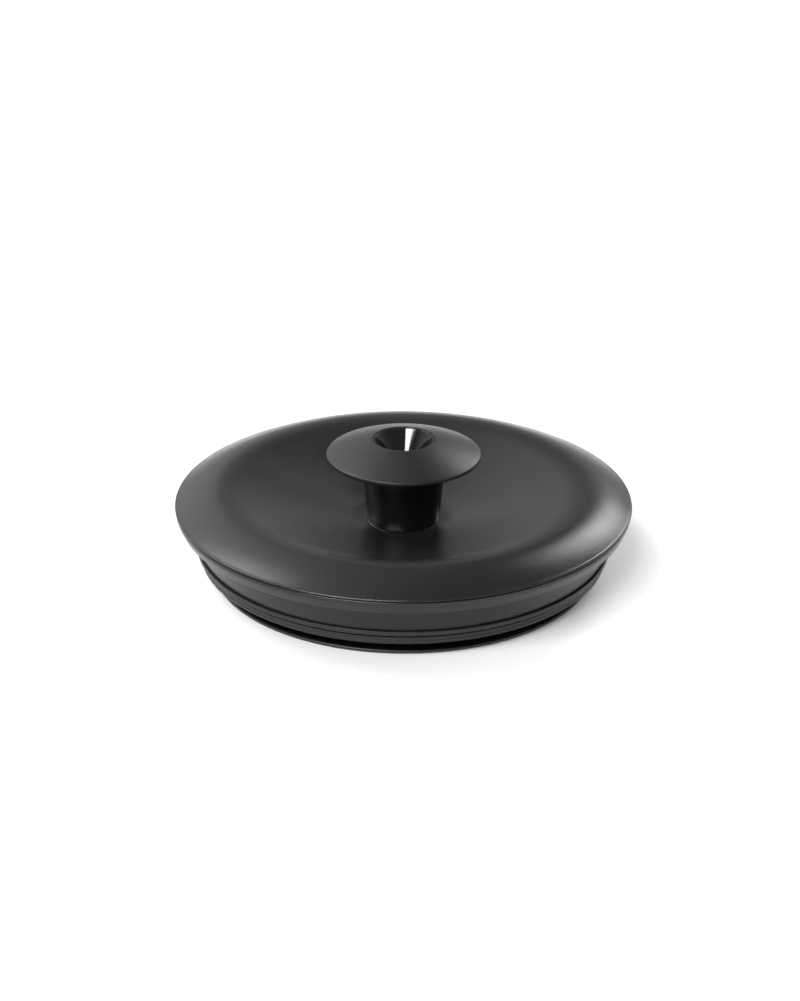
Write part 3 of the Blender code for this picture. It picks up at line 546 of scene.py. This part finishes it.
# ---- base ring and plate -------------------------------------------------------------------------
def make_ring():
    """Threaded base ring with a two-start thread on its upstand and four grip notches."""
    radius, height = RING_HIGH.x, 1.0 * MM
    upstand = 45.4 * MM
    pocket = 43.5 * MM
    ledge, ledge_radius = 1.5 * MM, 41.0 * MM
    top = RING_HIGH.z
    thread_low, thread_high = height + 0.5 * MM, top - 0.5 * MM
    lead, starts, depth = 4.0 * MM, 2, 0.22 * MM
    ridge_share, ridge_slope = 0.4, 1.8     # ridge's share of a pitch, and how steep it stands
    grip_radius, grip_top, overshoot = 3.2 * MM, 0.9 * MM, 1.0 * MM
    wall = split_run((upstand, top - 0.2 * MM), (upstand, height + 0.25 * MM), 48)

    def thread(at, level, angle):
        if at < upstand or at > upstand + 0.01 * MM or not thread_low < level < thread_high:
            return at
        fade = min(1.0, (level - thread_low) / depth, (thread_high - level) / depth)
        phase = (level / lead * starts - angle / (2 * pi) * starts) % 1.0
        ridge = max(0.0, 1.0 - abs(phase - 0.5) * 2 / ridge_share)
        return at + depth * fade * min(1.0, ridge * ridge_slope)

    points = outline(
        *wall,
        (upstand, height, 0.2 * MM),
        (radius, height, 0.35 * MM),
        (radius - 0.5 * MM, 0.0, 0.25 * MM),
        (ledge_radius, 0.0, 0.5 * MM),
        (ledge_radius, ledge, 0.25 * MM),
        (pocket, ledge, 0.15 * MM),
        (pocket, top, 0.25 * MM),
        (upstand - 0.25 * MM, top),
    )
    piece = turned("base_ring_skin", points, RING_BLACK, relief=thread)
    grips = bmesh.new()
    for place in around(4, ledge_radius, pi / 4):
        column(grips, place, grip_radius, -overshoot, grip_top)
    combine(piece, grips, "DIFFERENCE")
    return piece


def make_plate():
    """Bottom plate: a shallow round panel, a turned step and a gate mark in the middle."""
    low, high = PLATE_LOW.z, PLATE_HIGH.z
    radius = PLATE_HIGH.x
    panel = 34.0 * MM
    depth = 0.5 * MM
    face = low + depth
    mark_outer, mark_inner, mark_rise = 3.6 * MM, 1.2 * MM, 0.25 * MM
    points = outline(
        (0.0, high),
        (radius, high, 0.2 * MM),
        (radius, low, 0.2 * MM),
        (panel, low, 0.2 * MM),
        (panel - depth, face, 0.25 * MM),
        (mark_outer + 0.4 * MM, face, 0.3 * MM),
        (mark_outer, face + mark_rise, 0.2 * MM),
        (mark_inner, face + mark_rise, 0.1 * MM),
        (mark_inner - 0.3 * MM, face + 0.05 * MM, 0.1 * MM),
        (0.0, face + 0.05 * MM),
    )
    return turned("bottom_plate_skin", points, PLATE_BLACK)


# ---- knob ----------------------------------------------------------------------------------------
def make_cap():
    """Low mushroom cap: a domed top on a thin edge band, bored for the stem and funnel."""
    radius = CAP_HIGH.x
    bottom, lip = CAP_LOW.z, CAP_HIGH.z
    shoulder = bottom + 0.95 * MM
    run, rise = radius - CAP_LIP_RADIUS, lip - shoulder
    chord_angle = atan2(rise, run)
    bulge = 0.25                    # half of the dome's turn, as a share of its chord's slope
    half_turn = chord_angle * bulge
    dome_radius = hypot(run, rise) / (2 * sin(half_turn))
    lean = between(chord_angle - half_turn, chord_angle + half_turn, 28)
    dome = [(CAP_LIP_RADIUS + dome_radius * (sin(a) - sin(lean[0])),
             lip - dome_radius * (cos(lean[0]) - cos(a))) for a in lean]
    bore = SPIGOT_RADIUS + GAP
    bore_top = lip - CAP_LIP_THICKNESS
    points = outline(
        (CAP_LIP_RADIUS, lip, 0.2 * MM),
        *dome[2:-3],                # without the ends, which the fillets take up
        (radius, shoulder, 0.3 * MM),
        (radius - 0.05 * MM, bottom, 0.3 * MM),
        (bore, bottom, 0.2 * MM),
        (bore, bore_top, 0.2 * MM),
        (CAP_LIP_RADIUS, bore_top, 0.1 * MM),
    )
    return turned("knob_cap_skin", points, CAP_BLACK, KNOB_SEGMENTS)


def make_stem():
    """Tapered stem with a spigot, an insert bore and two pegs."""
    shoulder = CAP_LOW.z - GAP
    foot = STEM_LOW.z + PEG_LENGTH
    neck, foot_radius = 10.5 * MM, 9.15 * MM
    opening = SPIGOT_RADIUS - 1.2 * MM
    insert_bore = 4.4 * MM
    insert_top = foot + 8.6 * MM
    tip_bore = 3.3 * MM
    funnel_floor = FUNNEL_LOW.z - GAP
    points = outline(
        (opening, STEM_HIGH.z),
        (SPIGOT_RADIUS, STEM_HIGH.z, 0.3 * MM),
        (SPIGOT_RADIUS, shoulder, 0.2 * MM),
        (neck, shoulder, 0.3 * MM),
        (foot_radius, foot, 0.5 * MM),
        (insert_bore, foot, 0.2 * MM),
        (insert_bore, insert_top, 0.2 * MM),
        (tip_bore, insert_top, 0.2 * MM),
        (tip_bore, funnel_floor),
    )
    piece = turned("knob_stem_skin", points, STEM_BLACK, KNOB_SEGMENTS)
    pegs = bmesh.new()
    for place in around(2, PEG_PITCH):
        column(pegs, place, PEG_RADIUS, foot - PEG_LENGTH, foot + 1.0 * MM)
    combine(piece, pegs, "UNION")
    return piece


def make_funnel():
    """Glossy funnel with a small gate mark at its tip."""
    tip = FUNNEL_LOW.z + 0.8 * MM
    top = FUNNEL_HIGH.z
    mouth = CAP_LIP_RADIUS - GAP / 4
    wall = 0.8 * MM
    lip_stand = 0.25 * MM           # how far the cap's lip stands above the funnel
    flange_top = top + lip_stand - CAP_LIP_THICKNESS - GAP
    flange_bottom = flange_top - 0.6 * MM
    tip_radius = 1.9 * MM
    points = outline(
        (0.0, tip + 0.12 * MM),
        (0.35 * MM, tip + 0.1 * MM, 0.1 * MM),
        (0.5 * MM, tip, 0.1 * MM),
        (tip_radius, tip, 0.9 * MM),
        (mouth - wall / 2, top, 0.12 * MM),
        (mouth, top, 0.08 * MM),
        (mouth, flange_top, 0.1 * MM),
        (SPIGOT_RADIUS, flange_top, 0.1 * MM),
        (SPIGOT_RADIUS, flange_bottom, 0.1 * MM),
        (mouth - 1.1 * MM, flange_bottom, 0.3 * MM),
        (tip_radius + wall, tip, 0.4 * MM),
        (tip_radius, tip - wall, 0.3 * MM),
        (0.0, tip - wall),
    )
    return turned("knob_funnel_skin", points, FUNNEL_GLOSS, KNOB_SEGMENTS)


def make_bolt():
    """Pan-head bolt with a cut thread and a cross recess."""
    shank, head, head_height = SHANK_RADIUS, 4.6 * MM, 2.2 * MM
    under_head = BOLT_LOW.z + head_height
    top = BOLT_HIGH.z
    chamfer = 0.5 * MM
    pitch, depth = 0.8 * MM, 0.4 * MM
    valley_slope = 2.2              # how steeply the thread's valley falls away
    thread_low = under_head + 1.0 * MM
    rows = round((top - under_head) / (0.1 * MM))
    shaft = split_run((shank, top - chamfer), (shank, under_head), rows)

    def thread(at, level, angle):
        if at < shank * 0.999 or at > shank * 1.001 or level < thread_low:
            return at
        fade = min(1.0, (level - thread_low) / pitch, (top - level) / pitch)
        phase = (level / pitch - angle / (2 * pi)) % 1.0
        return at - depth * fade * (1.0 - min(1.0, abs(phase - 0.5) * valley_slope))

    points = outline(
        (0.0, top),
        (shank - chamfer, top),
        *shaft,
        (head, under_head, 0.15 * MM),
        (head, under_head - head_height, head_height * 0.55),
        (0.0, under_head - head_height),
    )
    piece = turned("knob_bolt_skin", points, STEEL, SMALL_SEGMENTS, relief=thread)
    arm, half = 2.5 * MM, 0.65 * MM
    cross = [Matrix.Rotation(quarter * pi / 2, 2) @ Vector(corner) for quarter in range(4)
             for corner in ((arm, -half), (arm, half), (half, half))]
    recess = bmesh.new()
    recess_start = under_head - 1.5 * head_height
    face = recess.faces.new([recess.verts.new((x, y, recess_start)) for x, y in cross])
    walls = bmesh.ops.extrude_face_region(recess, geom=[face])["geom"]
    risen = [item for item in walls if isinstance(item, bmesh.types.BMVert)]
    bmesh.ops.translate(recess, vec=(0.0, 0.0, head_height), verts=risen)
    bmesh.ops.recalc_face_normals(recess, faces=recess.faces)
    combine(piece, recess, "DIFFERENCE")
    return piece


# ---- assembly --------------------------------------------------------------------------------------
NEW_PIECES = (
    (make_cover, "lid", "lid_cover", "cover_black"),
    (make_body, "lid", "lid_body", "body_black"),
    (make_gasket, "lid", "seal_gasket", "silicone_black"),
    (make_ring, "ring", "base_ring", "ring_black"),
    (make_plate, "plate", "bottom_plate", "plate_black"),
    (make_cap, "knob", "knob_cap", "cap_black"),
    (make_stem, "knob", "knob_stem", "stem_black"),
    (make_funnel, "knob", "knob_funnel", "funnel_gloss"),
    (make_bolt, "bolt", "knob_bolt", "steel"),
)
for make, body, node, slot in NEW_PIECES:
    piece = make()
    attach(piece, body)
    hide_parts(node)

KEPT_NODES = {
    "rim_seal": SILICONE_GREY,
    "plate_seal": SILICONE_GREY,
    "stem_washer": SILICONE_GREY,
    "bolt_seal": SILICONE_GREY,
    "bolt_washer": STEEL,
    "knob_insert": BRASS,
    **{f"body_screw_{index}": STEEL for index in range(1, SCREW_COUNT + 1)},
}
for node, material in KEPT_NODES.items():
    for place in bpy.data.objects[node].material_slots:
        place.material = material


# ---- floor, lights and camera ------------------------------------------------------------------------
def pale_floor():
    """Plain pale floor with a soft, barely mottled surface."""
    finish = Finish("pale_floor")
    finish.colour(finish.blend(finish.noise(3.0, 2.0), (0.80, 0.80, 0.80), (0.82, 0.82, 0.82)))
    finish.set(Roughness=0.9, Specular_IOR_Level=0.1)
    mesh = bpy.data.meshes.new("floor")
    half = 1.0
    corners = [(-half, -half, 0.0), (half, -half, 0.0), (half, half, 0.0), (-half, half, 0.0)]
    mesh.from_pydata(corners, [], [(0, 1, 2, 3)])
    mesh.materials.append(finish.material)
    floor = bpy.data.objects.new("floor", mesh)
    drop = 0.02 * MM                # keeps the floor clear of the ring's own face
    floor.location.z = cad_bounds[0].z - drop
    bpy.context.scene.collection.objects.link(floor)


def direction(azimuth, elevation):
    """Direction of a light, in degrees. Azimuth runs from +Y towards +X."""
    turn, rise = radians(azimuth), radians(elevation)
    return Vector((sin(turn) * cos(rise), cos(turn) * cos(rise), sin(rise)))


def softbox(name, azimuth, elevation, width, height, radiance, distance=2.0, gloss=True):
    """A rectangular lamp that faces the lid, so many degrees wide and high."""
    across = 2 * distance * tan(radians(width) / 2)
    tall = 2 * distance * tan(radians(height) / 2)
    lamp = bpy.data.lights.new(name, "AREA")
    lamp.shape = "RECTANGLE"
    lamp.size = across
    lamp.size_y = tall
    lamp.energy = 4.0 * radiance * across * tall
    towards = direction(azimuth, elevation)
    holder = bpy.data.objects.new(name, lamp)
    holder.location = towards * distance
    holder.rotation_euler = towards.to_track_quat("Z", "Y").to_euler()
    holder.visible_camera = False
    holder.visible_glossy = gloss
    bpy.context.scene.collection.objects.link(holder)


def surroundings():
    """A dim room, paler low down and at the left, that the camera sees as plain white."""
    low_light, high_light = 0.44, 0.19
    paper_white = 1.1
    world = bpy.data.worlds.new("studio")
    bpy.context.scene.world = world
    world.use_nodes = True
    tree = world.node_tree
    aim = tree.nodes.new("ShaderNodeTexCoord").outputs["Generated"]

    def graded(value, low, high, to_low, to_high):
        node = tree.nodes.new("ShaderNodeMapRange")
        node.interpolation_type = "SMOOTHSTEP"
        for socket, number in zip(("From Min", "From Max", "To Min", "To Max"),
                                  (low, high, to_low, to_high)):
            node.inputs[socket].default_value = number
        tree.links.new(value, node.inputs["Value"])
        return node.outputs["Result"]

    def glow(azimuth, elevation, core, edge, radiance):
        """A soft patch of light, full inside its core angle and gone at its edge angle."""
        node = tree.nodes.new("ShaderNodeVectorMath")
        node.operation = "DOT_PRODUCT"
        tree.links.new(aim, node.inputs[0])
        node.inputs[1].default_value = direction(azimuth, elevation)
        facing = node.outputs["Value"]
        return graded(facing, cos(radians(edge)), cos(radians(core)), 0.0, radiance)

    height = tree.nodes.new("ShaderNodeSeparateXYZ")
    tree.links.new(aim, height.inputs["Vector"])
    total = graded(height.outputs["Z"], sin(radians(18)), sin(radians(34)),
                   low_light, high_light)
    for patch in (glow(-62, 47, 5, 45, 0.7), glow(-34, 28, 8, 32, 0.55), glow(40, 33, 4, 16, 0.3)):
        node = tree.nodes.new("ShaderNodeMath")
        node.operation = "ADD"
        tree.links.new(total, node.inputs[0])
        tree.links.new(patch, node.inputs[1])
        total = node.outputs["Value"]
    background = tree.nodes["Background"]
    background.inputs["Color"].default_value = (1.0, 1.0, 1.0, 1.0)
    tree.links.new(total, background.inputs["Strength"])
    seen = tree.nodes.new("ShaderNodeBackground")
    seen.inputs["Color"].default_value = (paper_white, paper_white, paper_white, 1.0)
    rays = tree.nodes.new("ShaderNodeLightPath")
    mix = tree.nodes.new("ShaderNodeMixShader")
    tree.links.new(rays.outputs["Is Camera Ray"], mix.inputs["Fac"])
    tree.links.new(background.outputs["Background"], mix.inputs[1])
    tree.links.new(seen.outputs["Background"], mix.inputs[2])
    tree.links.new(mix.outputs["Shader"], tree.nodes["World Output"].inputs["Surface"])


def camera():
    """The view of the lid: its axis, elevation, distance and slight roll."""
    target = Vector((0.0, 0.0, RIM_EDGE))
    elevation = radians(24.5)
    roll = radians(0.24)
    distance = 8.0 * RIM_RADIUS
    aside, above = -0.885 * MM, -1.21 * MM
    right = Vector((1.0, 0.0, 0.0))
    back = Vector((0.0, -cos(elevation), sin(elevation)))
    up = back.cross(right)
    data = bpy.data.cameras.new("camera")
    data.sensor_width = 36.0
    data.lens = 65.4
    data.clip_start = 0.01
    data.clip_end = 100.0
    holder = bpy.data.objects.new("camera", data)
    turn = Matrix((right, up, back)).transposed() @ Matrix.Rotation(roll, 3, "Z")
    place = target + back * distance + right * aside + up * above
    holder.matrix_world = Matrix.Translation(place) @ turn.to_4x4()
    bpy.context.scene.collection.objects.link(holder)
    bpy.context.scene.camera = holder


pale_floor()
surroundings()
softbox("key", 31, 33, 11, 22, 5.4)
softbox("left", -64, 46, 26, 26, 4.5)
softbox("floor_right", 80, 35, 40, 30, 1.8, gloss=False)
softbox("floor_front", 170, 50, 40, 25, 1.8, gloss=False)
softbox("front_left", -148, 45, 34, 12, 20.0)
softbox("floor_back", 30, 40, 25, 25, 4.0, gloss=False)
camera()
bpy.context.scene.view_settings.view_transform = "Standard"
